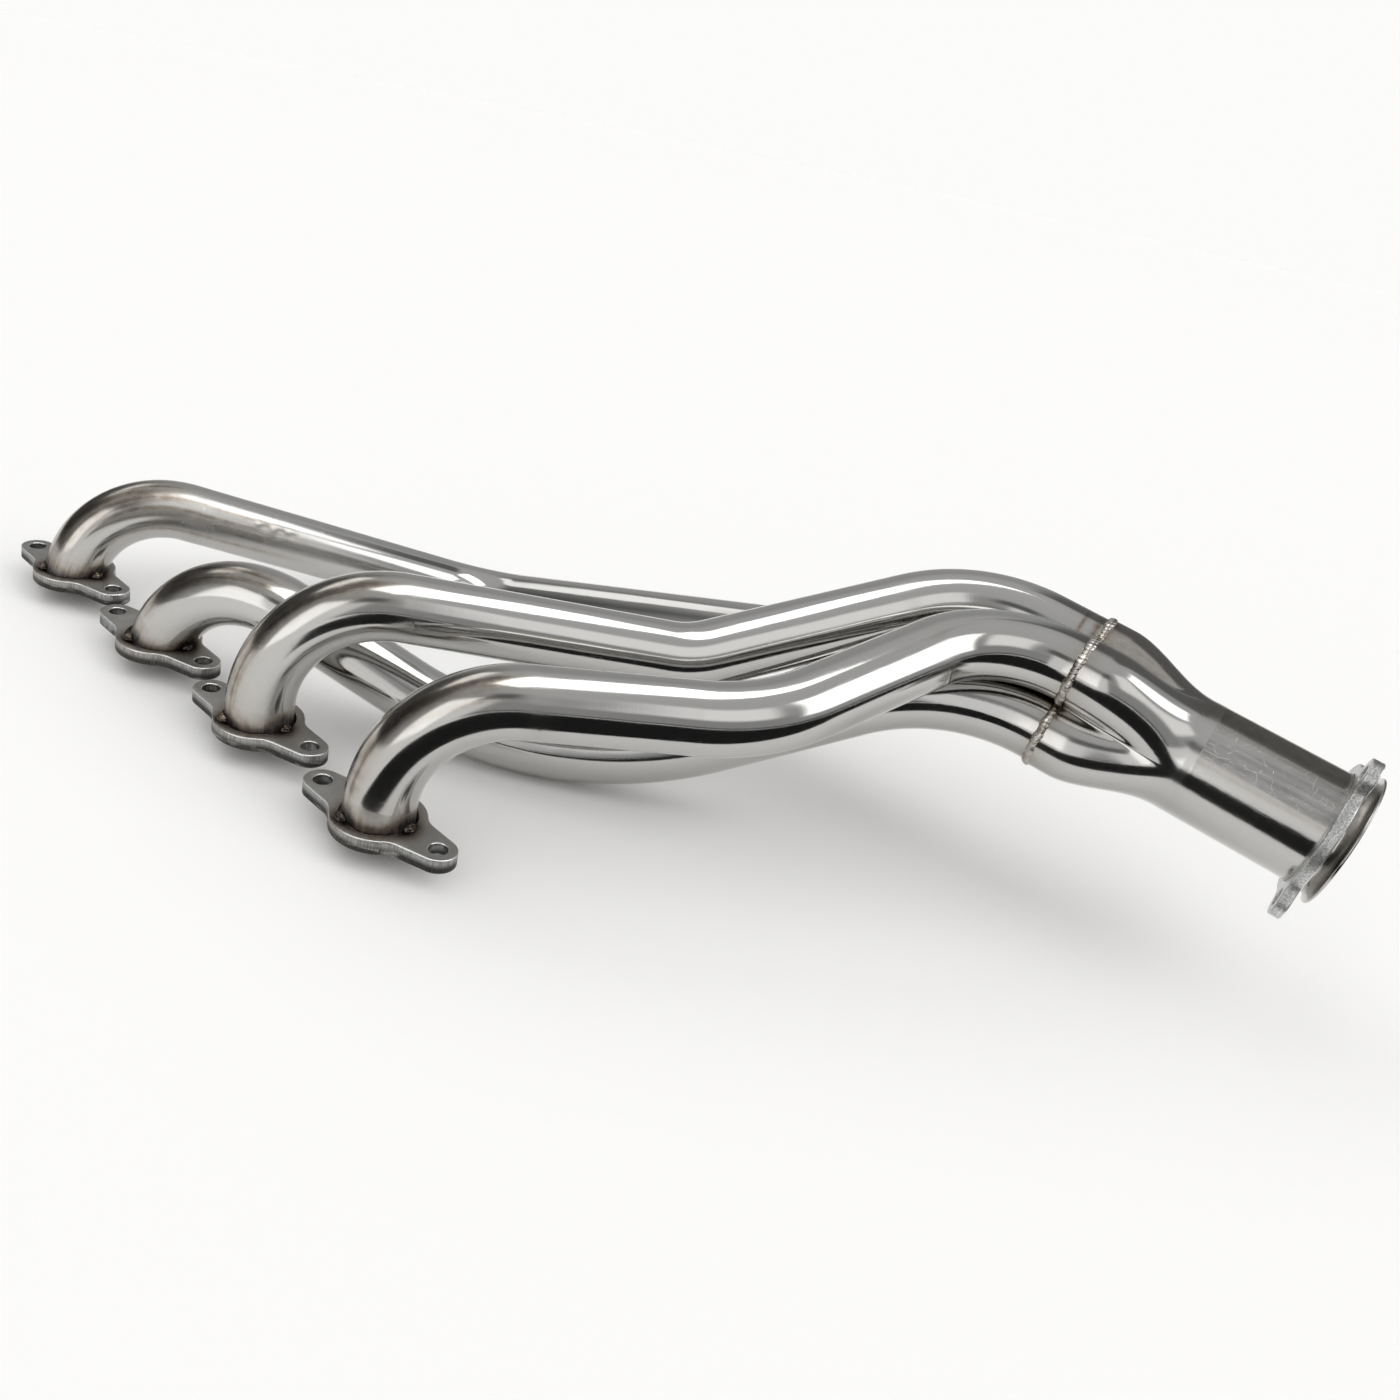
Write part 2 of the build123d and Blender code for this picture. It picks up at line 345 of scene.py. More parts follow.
def cut_plate(name, tone, rim_tones, roughness, thick, line_scale, burn):
    """Cut plate: rolled satin faces, sheared edge with fine lines and burnt patches low down."""
    material, tree, shader = new_material(name)
    place = add(tree, "ShaderNodeTexCoord").outputs["Object"]
    place = stretch(tree, place, (1000.0, 1000.0, 1000.0))
    flat = attribute(tree, "face")
    rim = attribute(tree, "rim", "Vector")
    clouds = speckle(tree, place, 0.10, 5.0, 0.62)
    fine = speckle(tree, place, 1.3, 3.0, 0.7)
    cut = speckle(tree, stretch(tree, rim, line_scale), 1.0, 3.0, 0.6)
    low_down = add(tree, "ShaderNodeSeparateXYZ", {0: rim}).outputs[1]
    low_down = ramp(tree, maths(tree, "DIVIDE", low_down, thick), ((0.0, 1.0), (0.35, 0.95), (0.7, 0.0)))
    scorch = ramp(tree, speckle(tree, stretch(tree, rim, (0.045, 0.2, 1.0)), 1.0, 4.0, 0.6), (
        (0.34, 0.0), (0.47, 1.0)))
    scorch = mul(tree, mul(tree, scorch, low_down), burn)
    scorch = mul(tree, scorch, plus(tree, cut, 0.45), clamp=True)
    face_tone = ramp(tree, clouds, ((0.25, tuple(0.78 * t for t in tone)), (0.7, tone)))
    rim_tone = ramp(tree, cut, ((0.38, rim_tones[0]), (0.62, rim_tones[1])))
    rim_tone = blend_colour(tree, scorch, rim_tone, (0.035, 0.033, 0.032))
    # Painted highlight: a bright tone along the top of the sheared edge where it rounds over, with roughness
    # lowered there as well.
    level = maths(tree, "DIVIDE", add(tree, "ShaderNodeSeparateXYZ", {0: rim}).outputs[1], thick)
    edge = ramp(tree, level, ((0.90, 0.0), (0.925, 1.0), (0.985, 1.0), (1.0, 0.3)))
    edge = mul(tree, edge, maths(tree, "SUBTRACT", 1.0, flat))
    rim_tone = blend_colour(tree, edge, rim_tone, (0.86, 0.86, 0.85))
    base = blend_colour(tree, flat, rim_tone, face_tone)
    tint_level = attribute(tree, "stain_and_shade")
    stained = mul(tree, tint_level, plus(tree, clouds, 0.55), clamp=True)
    browns = ((0.0, (0.42, 0.34, 0.25)), (0.5, (0.16, 0.10, 0.06)), (1.0, (0.03, 0.024, 0.02)))
    brown = ramp(tree, stained, browns)
    base = blend_colour(tree, stained, base, brown)
    drive(shader, "Base Color", base)
    spread = times_plus(tree, fine, 0.16, roughness - 0.08)
    spread = plus(tree, spread, mul(tree, scorch, 0.2))
    spread = maths(tree, "SUBTRACT", spread, mul(tree, edge, 0.16), clamp=True)
    drive(shader, "Roughness", spread)
    height = mul(tree, cut, maths(tree, "SUBTRACT", 1.0, flat))
    bumped(tree, shader, ((height, 0.16, 0.8), (fine, 0.09, 0.8), (clouds, 0.15, 0.25)))
    return material


def weld_metal(name, dark, roughness):
    """Weld metal: scaly silver with burnt hollows."""
    material, tree, shader = new_material(name)
    place = add(tree, "ShaderNodeTexCoord").outputs["Object"]
    place = stretch(tree, place, (1000.0, 1000.0, 1000.0))
    grains = speckle(tree, place, 0.9, 4.0, 0.65)
    patches = speckle(tree, place, 0.22, 3.0, 0.6)
    tint_level = attribute(tree, "stain_and_shade")
    burnt = plus(tree, patches, mul(tree, tint_level, 0.5))
    colour = ramp(tree, burnt, (
        (0.30, (0.70, 0.69, 0.67)),
        (0.50, (0.52, 0.49, 0.45)),
        (0.50 + dark, (0.24, 0.19, 0.14)),
        (0.85, (0.06, 0.05, 0.045)),
    ))
    drive(shader, "Base Color", colour)
    spread = times_plus(tree, grains, 0.3, roughness - 0.15)
    drive(shader, "Roughness", spread)
    bumped(tree, shader, ((patches, 0.5, 0.5), (grains, 0.18, 0.7)))
    return material


def satin_neck(name, roughness):
    """Neck left as welded tube: clouded satin with handling scratches; on the neck its darker clouds, lines
    and tint partly carry painted shade.
    """
    material, tree, shader = new_material(name)
    straight = attribute(tree, "straight", "Vector")
    colour, tint_level = stain_and_shade_colour(tree, straight)
    clouds = speckle(tree, straight, 0.09, 5.0, 0.68)
    scuff = attribute(tree, "scuff")
    # Darker clouds and lines follow the scuff level; on the neck that level's worn band is partly painted
    # shade.
    cloudy_and_shaded = mul(tree, mul(tree, clouds, scuff), 0.6)
    colour = blend_colour(tree, cloudy_and_shaded, colour, (0.36, 0.355, 0.345))
    drawn_and_shaded = speckle(tree, stretch(tree, straight, (0.26, 0.26, 0.015)), 1.0, 4.0, 0.7)
    drawn_and_shaded = mul(tree, ramp(tree, drawn_and_shaded, ((0.38, 0.65), (0.64, 0.0))), scuff)
    colour = blend_colour(tree, drawn_and_shaded, colour, (0.24, 0.235, 0.225))
    grain = speckle(tree, stretch(tree, straight, (0.5, 0.5, 0.12)), 1.0, 5.0, 0.7)
    scratches = None
    for turn in (0.25, 0.9, -0.5):
        turned = add(tree, "ShaderNodeMapping", {
            "Vector": straight,
            "Rotation": (turn, turn * 0.6, turn * 2.0),
            "Scale": (0.05, 0.30, 0.12),
        }).outputs[0]
        cells = cell_edges(tree, turned)
        line = ramp(tree, cells, ((0.0, 1.0), (0.010, 0.0)))
        gate = ramp(tree, speckle(tree, turned, 0.9, 2.0), ((0.55, 0.0), (0.61, 1.0)))
        line = mul(tree, line, gate)
        scratches = line if scratches is None else maths(tree, "MAXIMUM", scratches, line)
    scratches = mul(tree, scratches, scuff)
    colour = blend_colour(tree, mul(tree, scratches, 0.7), colour, (0.85, 0.85, 0.84))
    drive(shader, "Base Color", colour)
    spread = times_plus(tree, clouds, 0.30, roughness - 0.15)
    spread = plus(tree, mul(tree, spread, scuff), 0.10)
    spread = plus(tree, spread, mul(tree, scratches, 0.25))
    spread = maths(tree, "SUBTRACT", spread, mul(tree, tint_level, 0.05), clamp=True)
    drive(shader, "Roughness", spread)
    bumped(tree, shader, ((grain, 0.04, 0.7), (scratches, 0.06, 0.8), (clouds, 0.2, 0.25)))
    return material


elbow_steel = polished_steel("elbow_steel", 0.12, 0.6)
tube_steel = polished_steel("tube_steel", 0.10, 0.5)
shell_steel = polished_steel("shell_steel", 0.12, 0.8)
plate_rims = ((0.20, 0.20, 0.195), (0.42, 0.42, 0.41))
ring_rims = ((0.40, 0.40, 0.395), (0.78, 0.78, 0.77))
plate_tone = (0.45, 0.445, 0.43)
plate_steel = cut_plate("plate_steel", plate_tone, plate_rims, 0.36, FLANGE_THICK, (1.6, 0.10, 1.0), 1.0)
ring_steel = cut_plate("ring_steel", (0.62, 0.62, 0.61), ring_rims, 0.36, RING_THICK, (0.95, 0.95, 1.0), 0.2)
tack_metal = weld_metal("tack_metal", 0.02, 0.24)
bead_metal = weld_metal("bead_metal", 0.26, 0.27)
neck_steel = satin_neck("neck_steel", 0.27)
lip_steel = satin_neck("lip_steel", 0.26)


# ---- tube paths
class TubePath:
    """Straight runs joined by tangent arcs, measured in millimetres from the plate's top face."""

    def __init__(self, port_x, primary):
        side, level = primary["lobe"]
        entry = in_collector((side * LOBE_OFFSET, level * LOBE_OFFSET, 0.0))
        corners = [
            np.array((port_x, 0.0, -40.0)),
            np.array((port_x, 0.0, primary["rise"])),
            np.array(primary["mid"]),
            entry - AXIS * primary["back"],
            entry + AXIS * TUBE_INSERT,
        ]
        self.port = np.array((port_x, 0.0, 0.0))
        self.runs = []
        self.marks = []
        here = corners[0]
        length = 0.0
        for k in range(1, 4):
            d_in = unit(corners[k] - corners[k - 1])
            d_out = unit(corners[k + 1] - corners[k])
            turn = acos(float(np.clip(d_in @ d_out, -1, 1)))
            radius = primary["radii"][k - 1]
            reach = radius * tan(turn / 2)
            start = corners[k] - d_in * reach
            self.runs.append(("line", length, here, d_in, 0.0, 0.0))
            length += float(np.linalg.norm(start - here))
            inward = unit(d_out - d_in * (d_out @ d_in))
            self.marks.append((length, length + radius * turn))
            self.runs.append(("arc", length, start, d_in, inward, radius))
            length += radius * turn
            here = corners[k] + d_out * reach
        self.runs.append(("line", length, here, unit(corners[4] - corners[3]), 0.0, 0.0))
        self.length = length + float(np.linalg.norm(corners[4] - here))
        self.leg_way = unit(corners[2] - corners[1])
        self.foot = self.find_height(FLANGE_THICK)
        self.seams = (self.marks[0][1] + 6.0, self.marks[2][0] - 3.0)

    def at(self, s):
        run = [r for r in self.runs if r[1] <= s + 1e-9][-1] if s > 0 else self.runs[0]
        kind, begin, point, way, inward, radius = run
        if kind == "line":
            return point + way * (s - begin), way
        turn = (s - begin) / radius
        centre = point + inward * radius
        place = centre - inward * (radius * cos(turn)) + way * (radius * sin(turn))
        return place, way * cos(turn) + inward * sin(turn)

    def find_height(self, height):
        low, high = 0.0, 80.0
        for _ in range(40):
            middle = (low + high) / 2
            if self.at(middle)[0][2] < height:
                low = middle
            else:
                high = middle
        return low

    def frames(self, stations):
        """Centre, tangent and two carried-along normals at each station."""
        walk = np.unique(np.concatenate([np.arange(0, self.length, 2.0), stations]))
        normal = unit(self.leg_way * np.array((1.0, 1.0, 0.0)))
        found = {}
        for s in walk:
            centre, way = self.at(float(s))
            normal = unit(normal - way * (normal @ way))
            found[float(s)] = (centre, way, normal, np.cross(way, normal))
        return [found[float(s)] for s in stations]


def tack_points(path):
    """Where the tacks sit, in the CAD frame, on the plate's top face."""
    centre = path.at(path.foot)[0]
    return centre + level_ring(np.radians(TACK_ANGLES)) * (TUBE_R + 0.9)


def tube_masks(path, places, s, spin, number):
    """Tint and loss of polish over a tube, both 0 to 1. Heat tint by the welds, darker streaks and a darker
    band down the outside of the elbows, and darker streaks on the first leg.
    """
    along = s - path.foot
    past = np.clip(along, 0, None)
    tint_level = (0.62 * np.exp(-past / 5.0) + 0.16 * np.exp(-past / 24.0)) * (along > -8)
    for index, tack in enumerate(tack_points(path)):
        gap = np.linalg.norm(places - tack, axis=-1)
        tint_level = tint_level + (1.1 if index != 2 else 0.7) * bell(gap, 8.0)
    last = path.marks[0][1]
    elbow = smooth(path.foot + 4, path.foot + 20, s) * (1 - smooth(last - 20, last + 4, s))
    tint_level = tint_level + 0.30 * elbow * bell(turn_gap(spin, radians(212)), 0.42)
    for k, (turn, wide, strong) in enumerate(OUTER_STREAKS):
        drift = turn + 4 * np.sin(s / 31.0 + 1.9 * k + number)
        gap = turn_gap(spin, np.radians(drift))
        fading = 0.55 + 0.45 * np.sin(s / 23.0 + 2.3 * k + 1.7 * number)
        tint_level = tint_level + strong * elbow * fading * bell(gap, radians(wide))
    for seam in path.seams:
        tint_level = tint_level + 0.05 * bell(s - seam, 5.0)
    weld = s - (path.length - TUBE_INSERT)
    tint_level = tint_level + 0.22 * bell(weld, 4.0) + 0.08 * bell(weld, 14.0)
    hub = path.at(path.length - TUBE_INSERT)[0]
    inward = places - hub - AXIS * ((places - hub) @ AXIS)[..., None] - (MOUTH - hub)
    inward = np.linalg.norm(inward, axis=-1)
    tint_level = tint_level + 0.75 * (1 - smooth(17, 30, inward)) * bell(weld, 32.0)
    if number == 3:
        upper = bell(turn_gap(spin, -2.6), 0.7)
        tint_level = tint_level + 0.55 * upper * (bell(weld + 5.5, 1.3) + bell(weld + 12.5, 1.3))
    polish_edge = 11.5 + 1.2 * np.sin(spin + number)
    scuff = 0.75 * (1 - smooth(polish_edge - 0.6, polish_edge + 0.6, along)) * (along > -20)
    for seam in path.seams:
        scuff = scuff + 0.25 * bell(s - seam, 7.0)
    if number == 1:
        satin = 0.50 * smooth(92, 125, s) * (1 - smooth(205, 290, s))
        buffed = bell(turn_gap(spin, -2.08), 0.34, 4)
        for place in (184.0, 195.0, 203.0):
            satin = satin * (1 - 0.95 * buffed * bell(s - place, 4.6, 4))
        scuff = scuff + satin
        for turn, wide, strong in LEG_STREAKS:
            gap = turn_gap(spin, np.radians(turn + 3 * np.sin(s / 37.0 + turn)))
            reach = smooth(60, 110, s) * (1 - smooth(180, 235, s))
            tint_level = tint_level + strong * reach * bell(gap, radians(wide))
    return np.clip(tint_level, 0, 1), np.clip(scuff, 0, 1)


def sweep_tube(name, path, number, begin, end, material, step=2.0, swell=None):
    """Hollow tube between two stations of a path, with its wall showing at both ends."""
    count = max(int(ceil((end - begin) / step)), 2)
    stations = np.linspace(begin, end, count + 1)
    spin = full_turn(AROUND)
    frames = path.frames(stations)
    rows, straight, along = [], [], []
    order = list(range(len(stations)))
    for radius, sequence in ((TUBE_R, order), (TUBE_R - TUBE_WALL, order[::-1])):
        for k in sequence:
            centre, _, normal, side = frames[k]
            across = radius
            if swell is not None and radius == TUBE_R:
                across = radius + swell(stations[k], spin)
            cosine = (across * np.cos(spin))[:, None]
            sine = (across * np.sin(spin))[:, None]
            ring = centre + cosine * normal + sine * side
            if begin < path.foot:
                ring[:, 2] = np.maximum(ring[:, 2], TUBE_RECESS)
            rows.append(ring)
            level = np.full((AROUND, 1), stations[k] - path.foot + 40.0 * number)
            straight.append(np.hstack([cosine, sine, level]))
            along.append(np.full(AROUND, stations[k]))
    rows = np.array(rows)
    along = np.array(along)
    tint_level, scuff = tube_masks(path, rows, along, np.tile(spin, (len(rows), 1)), number)
    faces = grid_faces(len(rows), AROUND, wrap_rows=True)
    layers = {"straight": np.array(straight), "stain_and_shade": tint_level, "scuff": scuff}
    return make_piece(name, rows, faces, material, layers=layers)


def seam_swell(seam, number):
    """Low polished ridge of a butt weld, left a little proud on one side of the tube."""
    def swell(s, spin):
        centre = seam + 0.5 * np.sin(3 * spin + number) + 0.3 * np.sin(7 * spin)
        ridge = bell(s - centre, 0.8)
        patch = bell(turn_gap(spin, radians(SEAM_FACING[number - 1])), 0.45)
        return 0.10 * ridge * (0.03 + patch * (1 + 0.5 * np.sin(11 * spin + 2 * number)))
    return swell


def clamp_marks(s, spin):
    """Shallow flats left on the first leg by the bending clamp."""
    dents = bell(turn_gap(spin, radians(-119)), 0.30)
    flats = 0.0
    for place, depth in ((184.0, 0.16), (195.0, 0.20), (203.0, 0.12)):
        flats = flats + depth * bell(s - place, 3.4, 4)
    return -flats * dents


def build_primary(number, path):
    half = SEAM_WIDTH / 2
    first, second = path.seams
    cuts = (
        ("elbow", path.find_height(TUBE_RECESS) - 6.0, first - half, elbow_steel, "elbow_tube"),
        ("leg", first + half, second - half, tube_steel, "leg_tube"),
        ("tail", second + half, path.length, tube_steel, "tail_tube"),
    )
    for part, begin, end, material, slot in cuts:
        name = f"primary_{number}_{part}"
        marks = clamp_marks if name == "primary_1_leg" else None
        piece = sweep_tube(f"{name}_skin", path, number, begin, end, material, swell=marks)
        dress(piece, "header", slot, name)
    for letter, seam in zip("ab", path.seams):
        name = f"primary_{number}_seam_{letter}"
        swell = seam_swell(seam, number)
        piece = sweep_tube(
            f"{name}_ridge", path, number, seam - half, seam + half, tube_steel, 0.2, swell
        )
        dress(piece, "header", "tube_seam", name)


# ---- plates
def arc_points(centre, radius, start, stop, step=1.0):
    """Points on an arc, from start to stop in radians, about one step apart."""
    count = max(int(abs(stop - start) * radius / step), 2)
    turns = np.linspace(start, stop, count + 1)
    return [centre + radius * polar(t) for t in turns]


def heading_of(place):
    return atan2(place[1], place[0])


def nearest_turn(start, stop):
    return start + (stop - start + pi) % (2 * pi) - pi


def eared_outline(body_r, reach, ear_r, root_r, fillet_r, headings):
    """Round body with filleted ears at the given headings, counter-clockwise."""
    lean = asin((root_r - ear_r) / reach)
    run = sqrt((body_r + fillet_r) ** 2 - (root_r + fillet_r) ** 2)
    points = []
    ends = []
    for heading in headings:
        way = radians(heading)
        right = way - (pi / 2 - lean)
        left = way + (pi / 2 - lean)
        hollow_right = polar(right) * (root_r + fillet_r) + polar(right + pi / 2) * run
        hollow_left = polar(left) * (root_r + fillet_r) + polar(left - pi / 2) * run
        start, stop = heading_of(hollow_right), heading_of(hollow_left)
        ends.append((start, stop))
        ear = arc_points(hollow_right, fillet_r, start + pi, nearest_turn(start, right) + pi)
        ear += arc_points(reach * polar(way), ear_r, right, left)
        ear += arc_points(hollow_left, fillet_r, left + pi, nearest_turn(left, stop) + pi)
        points.append(ear)
    outline = []
    for k, ear in enumerate(points):
        outline += ear
        start = ends[k][1]
        stop = ends[(k + 1) % len(ends)][0]
        stop = start + (stop - start) % (2 * pi)
        outline += arc_points(np.zeros(2), body_r, start, stop)[1:-1]
    return even_loop(np.array(outline), 0.8)


def even_loop(points, step):
    """The same closed loop with its points a fixed distance apart."""
    closed = np.vstack([points, points[:1]])
    lengths = np.linalg.norm(np.diff(closed, axis=0), axis=1)
    travel = np.concatenate([[0], np.cumsum(lengths)])
    wanted = np.linspace(0, travel[-1], int(travel[-1] / step), endpoint=False)
    return np.column_stack([np.interp(wanted, travel, closed[:, k]) for k in range(2)])


def round_loop(centre, radius, count):
    turns = full_turn(count)
    return np.asarray(centre) + radius * np.column_stack([np.cos(turns), np.sin(turns)])


def loop_normals(loop):
    """Unit normals that point away from the inside of a counter-clockwise loop."""
    way = np.roll(loop, -1, axis=0) - np.roll(loop, 1, axis=0)
    way /= np.linalg.norm(way, axis=1)[:, None]
    return np.column_stack([way[:, 1], -way[:, 0]])


def plate_mesh(loops, thick, top_round, bottom_round, seed):
    """Plate with holes: loops[0] is the outline, the others are holes; all counter-clockwise."""
    points, faces, flat, rim = [], [], [], []
    caps = {"top": [], "bottom": []}
    for index, loop in enumerate(loops):
        hole = index > 0
        normals = loop_normals(loop) * (-1 if hole else 1)
        count = len(loop)
        travel = np.arange(count) * float(np.linalg.norm(loop[1] - loop[0]))
        profile = [(bottom_round * (1 - sin(t)), bottom_round * (1 - cos(t)))
                   for t in np.linspace(0, pi / 2, 4)]
        profile += [(0.0, z) for z in np.linspace(bottom_round, thick - top_round, 7)[1:-1]]
        profile += [(top_round * (1 - cos(t)), thick - top_round * (1 - sin(t)))
                    for t in np.linspace(0, pi / 2, 6)]
        first = len(points)
        for row, (inset, z) in enumerate(profile):
            spots = loop - normals * inset
            for k in range(count):
                shove = 0.0
                if 3 < row < len(profile) - 6:
                    shove = 0.10 * noise.noise(Vector((travel[k] / 3.0, z / 3.0, seed + index)))
                place = spots[k] + normals[k] * (shove - 0.03)
                points.append((place[0], place[1], z))
                flat.append(1.0 if row in (0, len(profile) - 1) else 0.0)
                rim.append((travel[k], z, seed * 10.0 + index))
        for face in grid_faces(len(profile), count, first=first):
            faces.append(face[::-1] if hole else face)
        caps["bottom"].append((first, count))
        caps["top"].append((first + (len(profile) - 1) * count, count))
    for key, rings in caps.items():
        corners, edges, source = [], [], []
        for first, count in rings:
            base = len(corners)
            for k in range(count):
                corners.append(Vector(points[first + k][:2]))
                source.append(first + k)
                edges.append((base + k, base + (k + 1) % count))
        middle = len(corners)
        low, high = np.min(corners, axis=0), np.max(corners, axis=0)
        for x in np.arange(low[0] + 3, high[0], 4.0):
            for y in np.arange(low[1] + 3, high[1], 4.0):
                corners.append(Vector((x, y)))
        found = geometry.delaunay_2d_cdt(corners, edges, [], 0, 1e-5)
        edges_of = [np.array([points[first + k][:2] for k in range(count)]) for first, count in rings]
        keep = plate_region(edges_of[0], edges_of[1:])
        remap = {}
        height = points[rings[0][0]][2]
        for new, place in enumerate(found[0]):
            origins = [o for o in found[3][new] if o < middle]
            if origins:
                remap[new] = source[origins[0]]
            else:
                remap[new] = len(points)
                points.append((place[0], place[1], height))
                flat.append(1.0)
                rim.append((place[0], place[1], seed * 10.0))
        for triangle in found[2]:
            centre = sum((np.array(found[0][k]) for k in triangle), np.zeros(2)) / 3
            if keep(centre):
                ids = tuple(remap[k] for k in triangle)
                faces.append(ids if key == "top" else ids[::-1])
    return np.array(points), faces, np.array(flat), np.array(rim)


def inside(loop, place):
    x, y = place
    a = loop
    b = np.roll(loop, -1, axis=0)
    crosses = (a[:, 1] > y) != (b[:, 1] > y)
    rise = np.where(crosses, b[:, 1] - a[:, 1], 1.0)
    at = a[:, 0] + (y - a[:, 1]) / rise * (b[:, 0] - a[:, 0])
    return bool(np.count_nonzero(crosses & (x < at)) % 2)


def plate_region(outline, holes):
    def keep(place):
        return inside(outline, place) and not any(inside(hole, place) for hole in holes)
    return keep


def build_port_flange(number, path):
    port_x = path.port[0]
    headings = (BOLT_HEADING, BOLT_HEADING + 180)
    outline = eared_outline(FLANGE_BODY_R, BOLT_REACH, EAR_R, EAR_ROOT_R, EAR_FILLET, headings)
    lean = path.at(path.foot)[0][:2] - path.port[:2]
    way = round_loop((0, 0), 1.0, 128)
    nearer = way @ lean
    leaning = nearer + np.sqrt(np.maximum((TUBE_R + 0.55) ** 2 - (lean @ lean - nearer ** 2), 0))
    port_hole = way * np.maximum(leaning, PORT_HOLE_R)[:, None]
    bolt = np.array((BOLT_X, BOLT_Y))
    holes = [round_loop(sign * bolt, BOLT_HOLE_R, 56) for sign in (1, -1)]
    points, faces, flat, rim = plate_mesh([outline, port_hole, *holes], FLANGE_THICK, 0.7, 0.3, number)
    points = points + np.array((port_x, 0.0, 0.0))
    tint_level = np.zeros(len(points))
    centre = path.at(path.foot)[0]
    for index, tack in enumerate(tack_points(path)):
        gap = np.linalg.norm(points - tack, axis=1)
        tint_level += (0.9 if index != 2 else 0.6) * bell(gap, 8.0)
    foot_gap = np.linalg.norm((points - centre)[:, :2], axis=1) - TUBE_R
    tint_level += 0.45 * bell(np.clip(foot_gap, 0, None), 6.0)
    tint_level *= smooth(FLANGE_THICK - 3.0, FLANGE_THICK - 0.5, points[:, 2]) * 0.85 + 0.15
    layers = {"face": flat, "rim": rim, "stain_and_shade": np.clip(tint_level, 0, 1)}
    name = f"port_flange_{number}"
    piece = make_piece(f"{name}_plate", points, faces, plate_steel, 50.0, layers)
    dress(piece, "header", "flange_plate", name)


# ---- welds
def blob_points(centre, size, squash, seed, rows=26, columns=36):
    """Puddle of weld metal: a squashed, lumpy ball with faint rings."""
    points = []
    for i in range(rows):
        tilt = pi * (i + 0.5) / rows
        for j in range(columns):
            spin = 2 * pi * j / columns
            way = np.array((sin(tilt) * cos(spin), sin(tilt) * sin(spin), cos(tilt)))
            swell = 1 + 0.14 * noise.noise(Vector(way * 1.6 + seed)) + 0.035 * sin(9 * tilt)
            points.append(centre + way * np.asarray(squash) * size * swell)
    return np.array(points)


def capped_grid(rows, columns, first):
    """Grid faces turned inside out, closed with a cap at each end."""
    faces = [face[::-1] for face in grid_faces(rows, columns, first=first)]
    faces.append(tuple(first + j for j in range(columns)))
    faces.append(tuple(first + (rows - 1) * columns + j for j in reversed(range(columns))))
    return faces


def build_tacks(number, path):
    points, faces, tint_level = [], [], []
    for index, tack in enumerate(tack_points(path)):
        centre = tack + np.array((0.0, 0.0, 0.5))
        blob = blob_points(centre, 3.3, (1.08, 1.08, 0.86), 3.0 * number + index)
        blob[:, 2] = np.maximum(blob[:, 2], FLANGE_THICK - 1.4)
        faces += capped_grid(26, 36, sum(len(p) for p in points))
        points.append(blob)
        tint_level.append(np.clip(1.3 - (blob[:, 2] - FLANGE_THICK) / 3.0, 0.42, 1))
    centre = path.at(path.foot)[0]
    spins = np.radians(np.linspace(TACK_ANGLES[0] - 38, TACK_ANGLES[1] + 12, 120))
    way = level_ring(spins)
    along = level_ring(spins + pi / 2)
    hubs = centre + way * (TUBE_R + 0.45) - np.array((0.0, 0.0, 0.9))
    upward = np.tile((0.0, 0.0, 1.0), (len(spins), 1))
    root = bead_rows(hubs, along, upward, 0.95, 0.75, 40 + number, columns=14)
    faces += capped_grid(len(root), 14, sum(len(p) for p in points))
    points.append(root.reshape(-1, 3))
    tint_level.append(np.full(root.shape[0] * 14, 0.75))
    name = f"port_tacks_{number}"
    layers = {"stain_and_shade": np.concatenate(tint_level)}
    piece = make_piece(f"{name}_puddles", np.concatenate(points), faces, tack_metal, 60.0, layers)
    dress(piece, "header", "tack_weld", name)


def ripple(travel, seed):
    """Stacked-coin ripple of a hand-laid bead, about 0 to 1, with uneven steps."""
    phase = travel / 2.9 + 0.35 * noise.noise(Vector((travel / 6.0, seed, 0.0)))
    part = phase - floor(phase)
    return part ** 0.6 * (1 - smooth(0.82, 1.0, part))


def bead_rows(centres, ways, outward, wide, tall, seed, columns=22, closed=False):
    """Rippled bead swept along a curve; ways are tangents, outward points off the metal."""
    travel = np.concatenate([[0], np.cumsum(np.linalg.norm(np.diff(centres, axis=0), axis=1))])
    spin = full_turn(columns)
    rows = []
    for k, centre in enumerate(centres):
        across = np.cross(ways[k], outward[k])
        wobble = noise.noise(Vector((travel[k] / 9.0, seed * 2.3, 1.0)))
        lump = noise.noise(Vector((travel[k] / 4.0, seed * 5.1, 4.0)))
        coin = ripple(travel[k], seed)
        fade = 1.0
        if not closed:
            fade = float(smooth(0, 2.5, travel[k]) * (1 - smooth(travel[-1] - 2.5, travel[-1], travel[k])))
            fade = 0.25 + 0.75 * fade
        half = wide * (0.84 + 0.30 * lump + 0.10 * coin) * fade
        high = tall * (0.78 + 0.34 * lump + 0.34 * coin) * fade
        middle = centre + across * (0.55 * wobble)
        lagging = -ways[k] * (0.9 * np.cos(spin) ** 2)[:, None]
        rows.append(
            middle
            + np.cos(spin)[:, None] * across * half
            + np.sin(spin)[:, None] * outward[k] * high
            + lagging
        )
    return np.array(rows)


